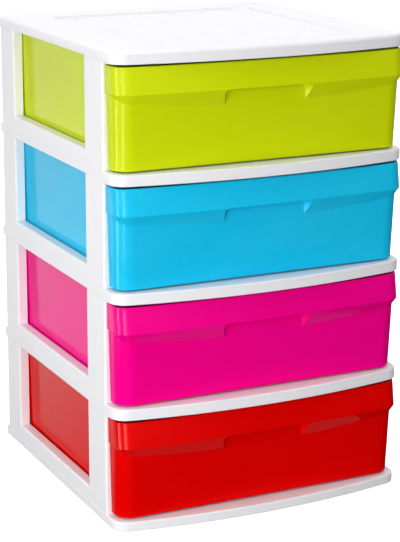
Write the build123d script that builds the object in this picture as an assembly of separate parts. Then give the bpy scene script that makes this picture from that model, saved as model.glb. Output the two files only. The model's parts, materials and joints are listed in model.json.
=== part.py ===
from build123d import *
import os

os.makedirs("parts", exist_ok=True)

# ---------------------------------------------------------------- driving dimensions, mm
TIERS = 4
PITCH = 141.0            # height of one tier
WIDTH = 390.0            # overall width of panels and shelves
DEPTH = 406.0            # overall depth, from the middle of the bowed front to the back
BOW = 20.0               # how far the middle of a shelf stands in front of its corners
SHELF_TOP = 12.0         # top face of a shelf above its tier line
SIDE_SEAT = 10.0         # level on which a side frame stands
LIP_DROP = 2.0           # how far the front lip hangs below the tier line
TOP_H = 14.0             # height of the top panel's side skirt
CORNER_R = 22.0          # plan radius of a shelf's front corners
BACK_R = 4.0             # plan radius of a shelf's back corners
SKIN = 2.2               # wall of the white mouldings
PLATE = 2.2              # thickness of a shelf's deck
TRAY_DEPTH = 3.0         # how deep the lid's tray is
SHEET = 2.0              # thickness of the back panels

FRAME_T = 13.0           # thickness of a side frame
FRAME_INSET = 0.5        # side frames stand this far inside the shelf ends
POST_FRONT = 31.0        # measured back from the line through the front corners
POST_FRONT_END = 87.0
POST_BACK = 330.0
POST_BACK_END = 378.0
SILL = 28.5              # top of the side frame's lower rail
PEG_L, PEG_T, PEG_H = 30.0, 6.0, 4.7
PEG_GAP = 0.2

DRAWER_BOTTOM = 12.4     # underside of the drawer's box
DRAWER_TOP = 136.5
DRAWER_BACK = 367.5
BOX_HALF = 180.5         # outer half width of the drawer's box at its rim
BOX_DRAFT = 0.7          # degrees
WALL = 2.0               # drawer wall
FRONT_BACK_FACE = 30.0   # back of the drawer's overlay front
FRONT_BOTTOM = 13.8
LOW_HALF_TOP, LOW_HALF_BOTTOM = 190.5, 188.0
LOW_Y_TOP, LOW_Y_BOTTOM = -3.5, 3.0
BAND_HALF = 191.5
BAND_Z = 104.5           # lower edge of the thick upper band
BAND_Y_TOP, BAND_Y_LOW = -2.5, -7.5      # the band's front at its corners, at the rim and at its lower edge
BAND_BOW_TOP, BAND_BOW_LOW = 10.0, 9.0
UNDERCUT = 35.0          # lean of the band's underside from the vertical, degrees
UNDERCUT_H = 22.0
GRIP_HALF = 51.5         # half width of the finger recess where it meets the lower front
GRIP_FLARE = 0.60        # how fast the recess widens towards the front
GRIP_R = 9.0             # radius of the recess's upper corners
GRIP_TOP = 122.0         # top of the pocket behind the band
POCKET_HALF = 45.0       # half width of that pocket
TRAVEL = 280.0

Y0 = 183.0               # the front corner line lies this far in front of the middle


def yy(y):
    """Depth measured from the front corner line, in the object's own frame."""
    return y - Y0


def outline(half, y_corner, bow, y_back, r_front, r_back, z=0.0):
    """A plan with straight sides and back, a bowed front and rounded corners."""
    a, b = (-half, yy(y_corner)), (half, yy(y_corner))
    c, d = (half, yy(y_back)), (-half, yy(y_back))
    with BuildSketch(Plane.XY.offset(z)) as s:
        with BuildLine():
            ThreePointArc(a, (0, yy(y_corner) - bow), b)
            Line(b, c)
            Line(c, d)
            Line(d, a)
        make_face()
        fillet([v for v in s.vertices() if v.Y < yy(y_corner) + 1], r_front)
        if r_back > 0:
            fillet([v for v in s.vertices() if v.Y > yy(y_back) - 0.01], r_back)
    return s.sketch


def block(x0, x1, y0, y1, z0, z1):
    """A box between two corners, with depth measured from the front corner line."""
    return Pos((x0 + x1) / 2, (yy(y0) + yy(y1)) / 2, (z0 + z1) / 2) * Box(
        abs(x1 - x0), abs(y1 - y0), abs(z1 - z0)
    )


def prism(sketch, height):
    return extrude(sketch, amount=height, dir=(0, 0, 1))


def at_level(edges, z, tol=0.01):
    return [e for e in edges if abs(e.center().Z - z) < tol and abs(e.bounding_box().size.Z) < tol]


BACK_EDGE = DEPTH - BOW
PEGS = [(POST_FRONT + POST_FRONT_END) / 2, (POST_BACK + POST_BACK_END) / 2]
PEG_X = WIDTH / 2 - FRAME_INSET - FRAME_T / 2
HALF = WIDTH / 2

# rib layout under the decks: the ribs are the strips left between these cells
CELL_X = [-180, -135, -90, -45, 0, 45, 90, 135, 180]
CELL_Y = [-20, 30, 81, 132, 183, 234, 285, 336, 386]
RIB = 1.6


def deck_cells(z0, z1, inner):
    """Ribbed hollow under a deck: the cells between the ribs, cut to the inner outline."""
    cells = []
    for i in range(len(CELL_X) - 1):
        for j in range(len(CELL_Y) - 1):
            cells.append(
                block(CELL_X[i] + RIB / 2, CELL_X[i + 1] - RIB / 2, CELL_Y[j] + RIB / 2, CELL_Y[j + 1] - RIB / 2, z0, z1)
            )
    body = prism(inner, z1 - z0)
    return [c & body for c in cells]


def side_cells(z0, z1):
    """Hollows under the seats of the side frames, clear of the peg sockets."""
    cells = []
    ys = [POST_FRONT_END + 3, 138, 188, 238, 288, POST_BACK - 3]
    for sx in (-1, 1):
        for a, b in zip(ys[:-1], ys[1:]):
            xs = sorted((sx * 183.0, sx * (HALF - SKIN)))
            cells.append(block(xs[0], xs[1], a + RIB / 2, b - RIB / 2, z0, z1))
    return cells


def peg_slots(z0, z1, extra=PEG_GAP):
    out = []
    for sx in (-1, 1):
        for py in PEGS:
            out.append(
                block(
                    sx * PEG_X - PEG_T / 2 - extra,
                    sx * PEG_X + PEG_T / 2 + extra,
                    py - PEG_L / 2 - extra,
                    py + PEG_L / 2 + extra,
                    z0,
                    z1,
                )
            )
    return out


def stop_tabs(z_top, z_low):
    """Two tabs that hang from a deck and catch the back wall of the drawer below."""
    y1 = DRAWER_BACK - WALL - TRAVEL - 0.8
    out = []
    for sx in (-1, 1):
        out.append(block(sx * 99 - 11, sx * 99 + 11, y1 - 5, y1, z_low, z_top))
    return out


def shelf(z, drop, sockets_below, tabs):
    """A deck with a bowed lip, seats for the side frames and ribs underneath."""
    body = prism(outline(HALF, 0, BOW, BACK_EDGE, CORNER_R, BACK_R, -drop), SHELF_TOP + drop)
    body = fillet(at_level(body.edges(), SHELF_TOP), 2.0)
    body = fillet(at_level(body.edges(), -drop), 1.2)
    cuts = []
    if drop > 0:
        cuts.append(block(-HALF - 5, HALF + 5, POST_FRONT, BACK_EDGE + 5, -drop - 1, 0))
    for sx in (-1, 1):
        xs = sorted((sx * (HALF - FRAME_INSET - FRAME_T), sx * (HALF + 5)))
        cuts.append(block(xs[0], xs[1], POST_FRONT, POST_BACK_END, SIDE_SEAT, SHELF_TOP + 5))
    inner = outline(HALF - SKIN, SKIN, BOW, BACK_EDGE - SKIN, CORNER_R - SKIN, 2.0, 0.0)
    keep = Pos(0, 0, 0) * block(-181, 181, -60, 400, -5, 20)
    cuts += deck_cells(0.0, SHELF_TOP - PLATE, inner)
    if drop > 0:
        low = prism(outline(HALF - SKIN, SKIN, BOW, BACK_EDGE - SKIN, CORNER_R - SKIN, 2.0, -drop - 1), drop + 1)
        cuts.append(low & block(-HALF, HALF, -60, POST_FRONT + 1, -drop - 2, 0))
    cuts += side_cells(0.0, SIDE_SEAT - 3.0)
    if sockets_below:
        cuts += peg_slots(-1, SIDE_SEAT + 1)
    else:
        cuts += peg_slots(SIDE_SEAT - 5.0, SIDE_SEAT + 1)
    body = body - cuts
    if tabs:
        body = body + stop_tabs(SHELF_TOP - PLATE, -8.0)
    return Pos(0, 0, z) * body


def top_panel():
    """The lid: a bowed plate with a shallow tray and soft flutes along its depth."""
    body = prism(outline(HALF, 0, BOW, BACK_EDGE, CORNER_R, 6.0, -LIP_DROP), TOP_H + LIP_DROP)
    body = fillet(at_level(body.edges(), TOP_H), 5.0)
    body = fillet(at_level(body.edges(), -LIP_DROP), 1.2)
    cuts = [block(-HALF - 5, HALF + 5, POST_FRONT, BACK_EDGE + 5, -LIP_DROP - 1, 0)]
    inner = outline(HALF - SKIN, SKIN, BOW, BACK_EDGE - SKIN, CORNER_R - SKIN, 3.5, 0.0)
    under_tray = TOP_H - TRAY_DEPTH - 2.4
    cuts += deck_cells(0.0, under_tray, inner)
    margin = [c for c in deck_cells(under_tray - 0.2, TOP_H - 2.4, inner) if c.volume > 1]
    cuts += [block(-147.5, 147.5, 342, 378, 0, TOP_H - 2.4) & c for c in margin if c.center().Y > yy(345)]
    cuts += [block(sx * 149, sx * 182, -20, 400, 0, TOP_H - 2.4) & c for sx in (-1, 1) for c in margin if sx * c.center().X > 145]
    low = prism(outline(HALF - SKIN, SKIN, BOW, BACK_EDGE - SKIN, CORNER_R - SKIN, 3.5, -LIP_DROP - 1), LIP_DROP + 1)
    cuts.append(low & block(-HALF, HALF, -60, POST_FRONT + 1, -LIP_DROP - 2, 0))
    cuts += side_cells(0.0, TOP_H - 6.5)
    cuts += peg_slots(-1, 5.0)
    body = body - cuts
    tray = outline(141, 24, 4, 330, 20, 14, TOP_H - TRAY_DEPTH)
    tray_cut = extrude(tray, amount=6, dir=(0, 0, 1), taper=-20)
    body = body - tray_cut
    flutes = []
    r = 6.0
    for x in (-112.5, -67.5, -22.5, 22.5, 67.5, 112.5):
        flutes.append(
            Pos(x, yy(177), TOP_H - TRAY_DEPTH + r - 0.8) * Rot(90, 0, 0) * Cylinder(r, 278)
        )
    body = body - flutes
    body = body + stop_tabs(under_tray + 0.6, -8.0)
    return Pos(0, 0, TIERS * PITCH) * body


def side_frame(z, side):
    """Two posts and a lower rail round an open window, ribbed on the inside."""
    x_out = HALF - FRAME_INSET
    x_in = x_out - FRAME_T
    top = PITCH
    body = block(x_in, x_out, POST_FRONT, POST_BACK_END, SIDE_SEAT, top)
    body = body - block(x_in - 5, x_out + 5, POST_FRONT_END, POST_BACK, SILL, top + 5)
    outer = [
        e
        for e in body.edges()
        if abs(e.center().X - x_out) < 0.01
        and not (abs(e.center().Z - top) < 0.01)
        and not (abs(e.center().Z - SIDE_SEAT) < 0.01)
    ]
    body = fillet(outer, 3.0)
    cuts = []
    # posts: a stack of cells behind the outer skin
    zs = [SIDE_SEAT + SKIN - 1, 44, 76, 108, top - SKIN + 1]
    for a, b in ((POST_FRONT, POST_FRONT_END), (POST_BACK, POST_BACK_END)):
        for z0, z1 in zip(zs[:-1], zs[1:]):
            cuts.append(block(x_in - 1, x_out - SKIN - 1.0, a + SKIN + 0.5, b - SKIN - 0.5, z0 + 1, z1 - 1))
    ys = [POST_FRONT_END + 1, 136, 184, 233, 281, POST_BACK - 1]
    for a, b in zip(ys[:-1], ys[1:]):
        cuts.append(block(x_in - 1, x_out - SKIN - 1.0, a + 1, b - 1, SIDE_SEAT + SKIN, SILL - SKIN - 0.5))
    body = body - cuts
    for py in PEGS:
        px = PEG_X
        peg = block(px - PEG_T / 2, px + PEG_T / 2, py - PEG_L / 2, py + PEG_L / 2, top, top + PEG_H)
        foot = block(px - PEG_T / 2, px + PEG_T / 2, py - PEG_L / 2, py + PEG_L / 2, SIDE_SEAT - PEG_H, SIDE_SEAT)
        peg = chamfer(at_level(peg.edges(), top + PEG_H), 1.0)
        foot = chamfer(at_level(foot.edges(), SIDE_SEAT - PEG_H), 1.0)
        body = body + peg + foot
    if side < 0:
        body = mirror(body, about=Plane.YZ)
    return Pos(0, 0, z) * body


def back_panel(z):
    """A flanged sheet between the back posts, with tongues that hook into them."""
    x = 181.0
    y1 = POST_BACK_END
    body = block(-x, x, y1 - 7.0, y1, SHELF_TOP, PITCH - 0.5)
    zs = [SHELF_TOP + SKIN, 53, 96, PITCH - 0.5 - SKIN]
    xs = [-x + SKIN, -135, -90, -45, 0, 45, 90, 135, x - SKIN]
    cuts = []
    for i in range(len(xs) - 1):
        for j in range(len(zs) - 1):
            a = xs[i] + (1 if i else 0)
            b = xs[i + 1] - (1 if i < len(xs) - 2 else 0)
            c = zs[j] + (1 if j else 0)
            d = zs[j + 1] - (1 if j < len(zs) - 2 else 0)
            cuts.append(block(a, b, y1 - 8, y1 - SHEET, c, d))
    body = body - cuts
    for sx in (-1, 1):
        xs2 = sorted((sx * x, sx * (x + 4.5)))
        body = body + block(xs2[0], xs2[1], y1 - 6.5, y1 - 4.0, 52, 70)
    return Pos(0, 0, z) * body


def front_plan(half, y_front, bow, z, r):
    return outline(half, y_front, bow, FRONT_BACK_FACE, r, 0, z)


def lean(t):
    """Lower front between its bottom (t=0) and the drawer's rim (t=1): half width and depth."""
    return (
        LOW_HALF_BOTTOM + (LOW_HALF_TOP - LOW_HALF_BOTTOM) * t,
        LOW_Y_BOTTOM + (LOW_Y_TOP - LOW_Y_BOTTOM) * t,
    )


def band_plan(z, inset):
    """The band's plan at a height; it is straight between its lower edge and the rim."""
    t = (z - BAND_Z) / (DRAWER_TOP - BAND_Z)
    y = BAND_Y_LOW + (BAND_Y_TOP - BAND_Y_LOW) * t
    bow = BAND_BOW_LOW + (BAND_BOW_TOP - BAND_BOW_LOW) * t
    return outline(BAND_HALF - inset, y + inset, bow, FRONT_BACK_FACE - inset, 20 - inset, 0, z)


def grip_face(y):
    """The finger recess's outline at a depth."""
    g = GRIP_HALF - GRIP_FLARE * (y + 1.0)
    with BuildSketch(Plane.XZ.offset(-yy(y))) as s:
        with BuildLine():
            Polyline((-g - 2, 70), (-g, BAND_Z), (g, BAND_Z), (g + 2, 70), close=True)
        make_face()
        fillet([v for v in s.vertices() if v.Y > BAND_Z - 1], GRIP_R)
    return s.sketch


def drawer(z):
    """A one-piece drawer: a drafted box, a wider overlay front with a bowed band, and a finger recess under the band."""
    top, low = DRAWER_TOP, FRONT_BOTTOM
    # box
    def box_plan(half, back, zz, r):
        with BuildSketch(Plane.XY.offset(zz)) as s:
            with BuildLine():
                Polyline(
                    (-half, yy(20)), (half, yy(20)), (half, yy(back)), (-half, yy(back)), close=True
                )
            make_face()
            fillet([v for v in s.vertices() if v.Y > yy(back) - 1], r)
        return s.sketch

    box = extrude(box_plan(BOX_HALF, DRAWER_BACK, top, 16), amount=-(top - DRAWER_BOTTOM), taper=BOX_DRAFT)
    bottom_edges = [e for e in at_level(box.edges(), DRAWER_BOTTOM) if e.center().Y > yy(30)]
    box = fillet(bottom_edges, 4.0)
    box_in = extrude(
        box_plan(BOX_HALF - WALL, DRAWER_BACK - WALL, top + 1, 16 - WALL),
        amount=-(top + 1 - DRAWER_BOTTOM - WALL),
        taper=BOX_DRAFT,
    )
    # lower front: two plans joined by ruled faces
    h1, y1 = lean(1.0)
    h0, y0 = lean(0.0)
    lower = loft([front_plan(h0, y0, 1.0, low, 20), front_plan(h1, y1, 1.0, top, 20)], ruled=True)
    foot_edges = [e for e in at_level(lower.edges(), low) if e.center().Y < yy(29)]
    lower = fillet(foot_edges, 2.0)
    w = WALL
    lower_in = loft(
        [
            outline(h0 - w, y0 + w, 1.0, FRONT_BACK_FACE - w, 20 - w, 0, low + w),
            outline(h1 - w, y1 + w, 1.0, FRONT_BACK_FACE - w, 20 - w, 0, top + 1),
        ],
        ruled=True,
    )
    # band, which leans out towards its lower edge, and its leaning underside
    band = loft([band_plan(BAND_Z, 0.0), band_plan(top, 0.0)], ruled=True)
    rim_edges = [e for e in at_level(band.edges(), top) if e.center().Y < yy(29)]
    band = fillet(rim_edges, 1.8)
    under = extrude(band_plan(BAND_Z, 0.0), amount=-UNDERCUT_H, taper=UNDERCUT)
    # finger recess: a soft-cornered opening in the underside, wider at the front
    opening = loft([grip_face(-24.0), grip_face(6.0)], ruled=True)
    under = under - opening
    outer = box + lower + band + under
    # pocket behind the band
    g = POCKET_HALF
    behind = loft([band_plan(BAND_Z - 3, w + 0.2), band_plan(GRIP_TOP, w + 0.2)], ruled=True)
    pocket = (block(-g, g, -40, 29, BAND_Z - 2, GRIP_TOP) & behind) - lower
    # hollow of the front
    floor = BAND_Z + 1.3
    band_in = loft([band_plan(floor, w), band_plan(top + 1, w)], ruled=True)
    under_in = extrude(band_plan(floor, w), amount=-UNDERCUT_H + 2, taper=UNDERCUT)
    wide = GRIP_HALF + 12.0
    front_in = (band_in + under_in) - [
        block(-g - w, g + w, -60, 60, BAND_Z - 1, GRIP_TOP + w),
        block(-wide, wide, -60, 60, 70, floor + 0.7),
    ]
    body = outer - pocket
    body = body - [box_in, lower_in, front_in]
    return Pos(0, 0, z) * body


# ---------------------------------------------------------------- the pieces
pieces = {}
pieces["top_panel"] = top_panel()
pieces["base_panel"] = shelf(0.0, 0.0, False, False)
colours = ["lime", "blue", "magenta", "red"]
one_drawer = drawer(0.0)
left, right, rear, mid = side_frame(0.0, -1), side_frame(0.0, 1), back_panel(0.0), shelf(0.0, LIP_DROP, True, True)
for n in range(1, TIERS + 1):
    level = (TIERS - n) * PITCH
    pieces["left_side_frame_%d" % n] = Pos(0, 0, level) * left
    pieces["right_side_frame_%d" % n] = Pos(0, 0, level) * right
    pieces["back_panel_%d" % n] = Pos(0, 0, level) * rear
    pieces["drawer_%d_%s" % (n, colours[n - 1])] = Pos(0, 0, level) * one_drawer
    if n < TIERS:
        pieces["divider_shelf_%d" % n] = Pos(0, 0, level) * mid

for name, piece in pieces.items():
    solids = piece.solids()
    whole = solids[0] if len(solids) == 1 else Compound(children=list(solids))
    whole.label = name
    export_step(whole, "parts/%s.step" % name)
    print(name, len(solids), "solids", round(sum(s.volume for s in solids) / 1000.0, 1), "cm3")
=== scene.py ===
import json
import math

import bpy
from mathutils import Matrix, Vector

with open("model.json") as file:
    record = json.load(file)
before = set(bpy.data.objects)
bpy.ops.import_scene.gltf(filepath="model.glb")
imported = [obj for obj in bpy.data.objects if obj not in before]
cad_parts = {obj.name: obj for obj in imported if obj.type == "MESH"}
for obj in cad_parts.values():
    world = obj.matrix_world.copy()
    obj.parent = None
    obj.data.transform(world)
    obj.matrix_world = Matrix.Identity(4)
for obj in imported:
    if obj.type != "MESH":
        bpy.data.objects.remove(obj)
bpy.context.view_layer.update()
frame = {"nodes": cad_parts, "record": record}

scene = bpy.context.scene
nodes = frame["nodes"]

# ---------------------------------------------------------------- camera
# Placed by fitting the tower's edges in the photograph, in metres in the tower's own frame.
PLACE = (-0.9731, -2.0336, 0.8607)
YAW, PITCH, ROLL = 0.44751, 0.21291, 0.00093
LENS = 119.407

cam_data = bpy.data.cameras.new("camera")
cam_data.sensor_fit = "AUTO"
cam_data.sensor_width = 36.0
cam_data.lens = LENS
cam_data.shift_x = 0.0
cam_data.shift_y = -0.1624
cam_data.clip_start, cam_data.clip_end = 0.05, 60.0
camera = bpy.data.objects.new("camera", cam_data)
scene.collection.objects.link(camera)
forward = Vector((math.sin(YAW) * math.cos(PITCH), math.cos(YAW) * math.cos(PITCH), -math.sin(PITCH)))
right = Vector((math.cos(YAW), -math.sin(YAW), 0.0))
up = right.cross(forward)
right2 = right * math.cos(ROLL) + up * math.sin(ROLL)
up2 = up * math.cos(ROLL) - right * math.sin(ROLL)
camera.matrix_world = Matrix.Translation(PLACE) @ Matrix((right2, up2, -forward)).transposed().to_4x4()
scene.camera = camera

# ---------------------------------------------------------------- colour
scene.view_settings.view_transform = "Standard"
scene.view_settings.look = "None"
scene.view_settings.exposure = 0.0
scene.view_settings.gamma = 1.0


# ---------------------------------------------------------------- materials
class Graph:
    """A small helper to build a material's nodes."""

    def __init__(self, name):
        self.material = bpy.data.materials.new(name)
        self.material.use_nodes = True
        self.tree = self.material.node_tree
        self.tree.nodes.clear()
        self.x = 0

    def add(self, kind, **values):
        n = self.tree.nodes.new(kind)
        n.location = (self.x, 0)
        self.x += 180
        for k, v in values.items():
            setattr(n, k, v)
        return n

    def link(self, a, b):
        self.tree.links.new(a, b)

    def math(self, operation, a, b=None, clamp=False):
        n = self.add("ShaderNodeMath", operation=operation, use_clamp=clamp)
        for i, v in enumerate((a, b)):
            if v is None:
                continue
            if isinstance(v, (int, float)):
                n.inputs[i].default_value = v
            else:
                self.link(v, n.inputs[i])
        return n.outputs[0]

    def noise(self, where, scale, detail=2.0, rough=0.5, distortion=0.0):
        n = self.add("ShaderNodeTexNoise", noise_dimensions="3D")
        n.inputs["Scale"].default_value = scale
        n.inputs["Detail"].default_value = detail
        n.inputs["Roughness"].default_value = rough
        n.inputs["Distortion"].default_value = distortion
        self.link(where, n.inputs["Vector"])
        return n.outputs["Fac"]

    def ramp(self, value, lo, hi, to_lo=0.0, to_hi=1.0, smooth=True):
        n = self.add("ShaderNodeMapRange", clamp=True)
        n.interpolation_type = "SMOOTHSTEP" if smooth else "LINEAR"
        n.inputs["From Min"].default_value = lo
        n.inputs["From Max"].default_value = hi
        n.inputs["To Min"].default_value = to_lo
        n.inputs["To Max"].default_value = to_hi
        self.link(value, n.inputs["Value"])
        return n.outputs["Result"]

    def stretch(self, where, scale):
        n = self.add("ShaderNodeMapping", vector_type="POINT")
        n.inputs["Scale"].default_value = scale
        self.link(where, n.inputs["Vector"])
        return n.outputs["Vector"]

    def mix_colour(self, factor, a, b):
        n = self.add("ShaderNodeMix", data_type="RGBA", blend_type="MIX")
        if isinstance(factor, (int, float)):
            n.inputs["Factor"].default_value = factor
        else:
            self.link(factor, n.inputs["Factor"])
        for socket, v in ((n.inputs[6], a), (n.inputs[7], b)):
            if isinstance(v, tuple):
                socket.default_value = (*v, 1.0)
            else:
                self.link(v, socket)
        return n.outputs[2]

    def bump(self, height, strength, distance, normal=None):
        n = self.add("ShaderNodeBump")
        n.inputs["Strength"].default_value = strength
        n.inputs["Distance"].default_value = distance
        self.link(height, n.inputs["Height"])
        if normal is not None:
            self.link(normal, n.inputs["Normal"])
        return n.outputs["Normal"]


def moulded_plastic(name, colour, deep, light, rough, rough_span, edge_radius, wave, grain, ior=1.46, shine=0.5, coat=0.0):
    """Injection-moulded plastic: colour that drifts a little with the flow of the melt, a skin with faint waves
    and a very fine grain, gloss that changes with handling, hair-fine rubbing marks, and softened edges painted
    slightly paler, partly as wear and partly as a painted highlight where edges catch the light."""
    g = Graph(name)
    where = g.add("ShaderNodeTexCoord").outputs["Object"]

    # colour
    flow = g.noise(g.stretch(where, (3.0, 5.0, 9.0)), 2.2, 3.0, 0.55, 0.6)
    mottle = g.noise(where, 160.0, 2.0, 0.5)
    body = g.mix_colour(g.ramp(flow, 0.32, 0.68), deep, colour)
    body = g.mix_colour(g.math("MULTIPLY", g.ramp(mottle, 0.35, 0.75), 0.18), body, light)

    # edges: where a softened normal leaves the true one; this mask paints the edges paler, partly as wear and
    # partly as a painted highlight
    soft = g.add("ShaderNodeBevel", samples=6)
    soft.inputs["Radius"].default_value = edge_radius
    true_normal = g.add("ShaderNodeNewGeometry").outputs["Normal"]
    dot = g.add("ShaderNodeVectorMath", operation="DOT_PRODUCT")
    g.link(soft.outputs["Normal"], dot.inputs[0])
    g.link(true_normal, dot.inputs[1])
    edge = g.ramp(dot.outputs["Value"], 0.995, 0.86, 0.0, 1.0)
    edge_wear_and_highlight = g.math("MULTIPLY", edge, g.ramp(g.noise(where, 70.0, 3.0, 0.6), 0.3, 0.7, 0.35, 1.0))
    # painted highlight and wear: the edge mask lifts the edges towards the paler colour
    body = g.mix_colour(g.math("MULTIPLY", edge_wear_and_highlight, 0.35), body, light)

    # gloss: smudges, and fine rubbing marks that run along the drawers' travel and across
    smudge = g.ramp(g.noise(where, 17.0, 4.0, 0.62, 0.4), 0.40, 0.72)
    rub_a = g.noise(g.stretch(where, (900.0, 14.0, 700.0)), 1.0, 2.0, 0.5)
    rub_b = g.noise(g.stretch(where, (12.0, 800.0, 900.0)), 1.0, 2.0, 0.5)
    rub = g.math("MAXIMUM", g.ramp(rub_a, 0.60, 0.74), g.ramp(rub_b, 0.60, 0.74))
    r = g.math("ADD", g.math("MULTIPLY", smudge, rough_span), rough)
    r = g.math("ADD", r, g.math("MULTIPLY", rub, rough_span * 0.5))
    r = g.math("ADD", r, g.math("MULTIPLY", edge_wear_and_highlight, 0.10), clamp=True)

    # skin
    waves = g.noise(g.stretch(where, (1.0, 1.0, 1.25)), 7.5, 1.0, 0.4)
    peel = g.noise(where, 260.0, 2.0, 0.5)
    fine = g.noise(where, 1500.0, 2.0, 0.6)
    n = g.bump(waves, 1.0, wave, soft.outputs["Normal"])
    n = g.bump(peel, 0.6, grain * 3.0, n)
    n = g.bump(fine, 0.6, grain, n)
    n = g.bump(rub, 0.35, grain * 0.8, n)

    shader = g.add("ShaderNodeBsdfPrincipled")
    g.link(body, shader.inputs["Base Color"])
    g.link(r, shader.inputs["Roughness"])
    g.link(n, shader.inputs["Normal"])
    shader.inputs["IOR"].default_value = ior
    shader.inputs["Specular IOR Level"].default_value = shine
    if coat:
        shader.inputs["Coat Weight"].default_value = coat
        shader.inputs["Coat Roughness"].default_value = 0.08
        shader.inputs["Coat IOR"].default_value = 1.45
    out = g.add("ShaderNodeOutputMaterial")
    g.link(shader.outputs[0], out.inputs["Surface"])
    return g.material


MATERIALS = {
    "white_plastic": moulded_plastic(
        "white_moulding", (0.900, 0.896, 0.925), (0.893, 0.889, 0.918), (0.925, 0.923, 0.945), 0.30, 0.02, 0.0009, 0.00003, 0.0000003, shine=0.12
    ),
    "lime_plastic": moulded_plastic(
        "lime_moulding", (0.640, 0.755, 0.004), (0.622, 0.738, 0.002), (0.68, 0.79, 0.014), 0.11, 0.05, 0.0008, 0.00008, 0.0000008, shine=0.06
    ),
    "blue_plastic": moulded_plastic(
        "blue_moulding", (0.014, 0.575, 0.900), (0.008, 0.555, 0.880), (0.03, 0.61, 0.92), 0.11, 0.05, 0.0008, 0.00008, 0.0000008, shine=0.06
    ),
    "magenta_plastic": moulded_plastic(
        "magenta_moulding", (0.970, 0.0, 0.268), (0.945, 0.0, 0.256), (0.98, 0.008, 0.300), 0.11, 0.05, 0.0008, 0.00008, 0.0000008, shine=0.06
    ),
    "red_plastic": moulded_plastic(
        "red_moulding", (0.770, 0.0, 0.0), (0.745, 0.0, 0.0), (0.82, 0.006, 0.004), 0.11, 0.05, 0.0008, 0.00008, 0.0000008, shine=0.06
    ),
}
slot_of = {s["node"]: s["material_slot"] for s in frame["record"]["subparts"]}
for name, obj in nodes.items():
    material = MATERIALS[slot_of[name]]
    if obj.data.materials:
        for i in range(len(obj.material_slots)):
            obj.material_slots[i].link = "OBJECT"
            obj.material_slots[i].material = material
    else:
        obj.data.materials.append(material)

# ---------------------------------------------------------------- floor
bpy.ops.mesh.primitive_circle_add(vertices=96, radius=9.0, fill_type="NGON", location=(0, 0, -0.0004))
floor = bpy.context.object
floor.name = "floor"
g = Graph("pale_floor")
where = g.add("ShaderNodeTexCoord").outputs["Object"]
tone = g.mix_colour(g.ramp(g.noise(where, 3.0, 3.0), 0.3, 0.7), (0.905, 0.905, 0.91), (0.925, 0.925, 0.925))
shader = g.add("ShaderNodeBsdfPrincipled")
g.link(tone, shader.inputs["Base Color"])
shader.inputs["Roughness"].default_value = 0.7
shader.inputs["Specular IOR Level"].default_value = 0.2
shader.inputs["Emission Color"].default_value = (1.0, 1.0, 1.0, 1.0)
shader.inputs["Emission Strength"].default_value = 0.80
g.link(shader.outputs[0], g.add("ShaderNodeOutputMaterial").inputs["Surface"])
floor.data.materials.append(g.material)
floor.visible_glossy = False
floor.visible_diffuse = False
floor.visible_shadow = False

# ---------------------------------------------------------------- light
GLOSS_LEVEL, FILL_LOW, FILL_HIGH = 1.10, 0.25, 0.47
world = bpy.data.worlds.new("studio")
scene.world = world
world.use_nodes = True
wt = world.node_tree
wt.nodes.clear()


def wn(kind, **values):
    n = wt.nodes.new(kind)
    for k, v in values.items():
        setattr(n, k, v)
    return n


def wrange(value, lo, hi, to_lo, to_hi):
    n = wn("ShaderNodeMapRange", clamp=True, interpolation_type="SMOOTHSTEP")
    for s, v in (("From Min", lo), ("From Max", hi), ("To Min", to_lo), ("To Max", to_hi)):
        n.inputs[s].default_value = v
    wt.links.new(value, n.inputs["Value"])
    return n.outputs["Result"]


def wmath(op, a, b):
    n = wn("ShaderNodeMath", operation=op)
    for i, v in enumerate((a, b)):
        if isinstance(v, (int, float)):
            n.inputs[i].default_value = v
        else:
            wt.links.new(v, n.inputs[i])
    return n.outputs[0]


direction = wn("ShaderNodeTexCoord").outputs["Generated"]
split = wn("ShaderNodeSeparateXYZ")
wt.links.new(direction, split.inputs[0])
dx, dy, dz = split.outputs
# what gloss sees: a bright wall to the left and behind, and darkness in front, to the right and low down
around = wmath("ADD", wmath("MULTIPLY", dx, -0.937), wmath("MULTIPLY", dy, -0.349))
front_edge = wrange(around, -0.09, 0.16, 0.01, 1.0)
back_edge = wrange(around, -0.30, -0.02, 0.10, 1.0)
turn = wrange(dy, -0.25, 0.25, 0.0, 1.0)
wall = wn("ShaderNodeMix", data_type="FLOAT")
wt.links.new(turn, wall.inputs["Factor"])
wt.links.new(front_edge, wall.inputs[2])
wt.links.new(back_edge, wall.inputs[3])
height = wrange(dz, -0.42, -0.02, 0.04, 1.0)
room = wmath("MULTIPLY", wmath("MULTIPLY", wall.outputs[0], height), GLOSS_LEVEL)
# the white paper behind: bright to the left of the tower, and above it on the right
behind_left = wmath("MULTIPLY", wmath("MULTIPLY", wrange(dy, 0.30, 0.75, 0.0, 2.1), wrange(dx, -0.20, -0.05, 1.0, 0.0)), wrange(dz, -0.45, -0.25, 0.0, 1.0))
behind_right = wmath("MULTIPLY", wmath("MULTIPLY", wrange(dy, 0.30, 0.75, 0.0, 1.0), wrange(dx, -0.20, -0.05, 0.0, 1.0)), wrange(dz, -0.05, 0.08, 0.0, 1.0))
room = wmath("MAXIMUM", room, wmath("MAXIMUM", behind_left, behind_right))
ceiling = wmath("MULTIPLY", wrange(dz, 0.15, 0.80, 0.0, 1.0), 0.45)
level = wmath("MAXIMUM", room, ceiling)
path = wn("ShaderNodeLightPath")
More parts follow.
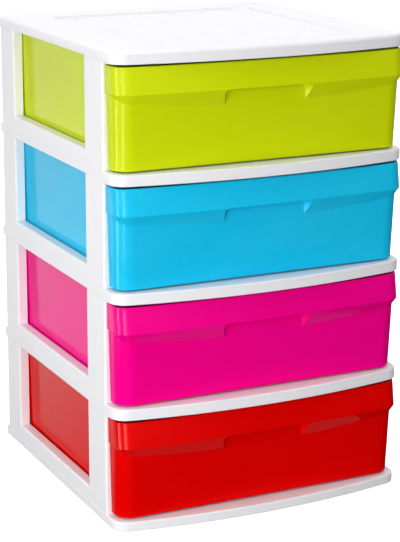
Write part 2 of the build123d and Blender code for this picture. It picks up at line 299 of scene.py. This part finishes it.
# soft fill for diffuse surfaces, from above and from below
fill = wrange(dz, -0.25, 0.25, FILL_LOW, FILL_HIGH)
glossy = wn("ShaderNodeMix", data_type="FLOAT")
wt.links.new(path.outputs["Is Glossy Ray"], glossy.inputs["Factor"])
wt.links.new(fill, glossy.inputs[2])
wt.links.new(level, glossy.inputs[3])
seen = wn("ShaderNodeMix", data_type="FLOAT")
wt.links.new(path.outputs["Is Camera Ray"], seen.inputs["Factor"])
wt.links.new(glossy.outputs[0], seen.inputs[2])
seen.inputs[3].default_value = 1.0
background = wn("ShaderNodeBackground")
background.inputs["Color"].default_value = (1.0, 1.0, 1.0, 1.0)
wt.links.new(seen.outputs[0], background.inputs["Strength"])
wt.links.new(background.outputs[0], wn("ShaderNodeOutputWorld").inputs["Surface"])

AIM = Vector((0.0, 0.0, 0.30))


def soft_box(name, azimuth, elevation, distance, width, height, watts, glossy=False):
    """A rectangular light round the tower: azimuth 0 is in front, negative to the left.
    A glossy one is seen only in the plastic's shine."""
    a, e = math.radians(azimuth), math.radians(elevation)
    out = Vector((math.sin(a) * math.cos(e), -math.cos(a) * math.cos(e), math.sin(e)))
    data = bpy.data.lights.new(name, "AREA")
    data.shape = "RECTANGLE"
    data.size, data.size_y = width, height
    data.energy = watts
    obj = bpy.data.objects.new(name, data)
    scene.collection.objects.link(obj)
    obj.rotation_mode = "QUATERNION"
    obj.rotation_quaternion = (-out).to_track_quat("-Z", "Y")
    obj.location = AIM + out * distance
    obj.visible_camera = False
    obj.visible_glossy = glossy
    obj.visible_diffuse = not glossy
    return obj


LIGHTS = [
    ("key", -44, 2, 1.8, 1.0, 1.4, 19.5, False),
    ("left", -84, 0, 2.5, 1.2, 1.2, 3.5, False),
    ("top", 0, 88, 2.2, 1.6, 1.6, 24.0, False),
    ("right", 108, 8, 2.5, 1.2, 1.2, 11.0, False),
    ("back", 165, 12, 2.5, 1.2, 1.2, 12.0, False),
    ("strip_a", -88, 4, 1.9, 0.60, 1.7, 60.0, True),
    ("strip_b", -48, 4, 2.2, 0.60, 1.7, 55.0, True),
]
lamps = {row[0]: soft_box(*row) for row in LIGHTS}
